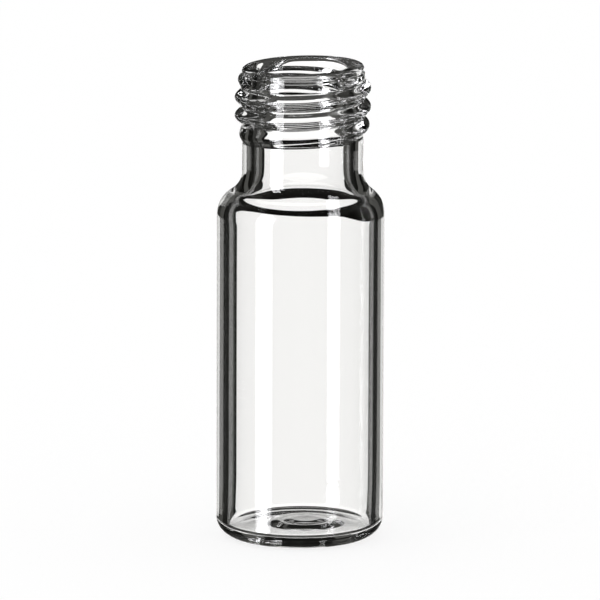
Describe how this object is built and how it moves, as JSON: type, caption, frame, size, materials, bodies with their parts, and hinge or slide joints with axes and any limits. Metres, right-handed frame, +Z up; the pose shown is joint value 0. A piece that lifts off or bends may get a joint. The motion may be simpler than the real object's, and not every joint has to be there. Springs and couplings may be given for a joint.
{
  "type": "glass sample vial",
  "caption": "Clear glass sample vial with a straight body, rounded shoulder, short screw-threaded neck and open mouth, for holding a small liquid sample under a screw cap.",
  "frame": {"origin": "centre of the foot ring, on the surface that the vial stands on", "axes": "+Z up along the vial's axis, out of the mouth; +X to the right and +Y away, seen from the front"},
  "size_m": [0.0116, 0.0116, 0.0329],
  "materials": {
    "clear_glass": "fire-polished clear borosilicate"
  },
  "bodies": {
    "root": {"glass_vial": "clear_glass"}
  },
  "joints": []
}
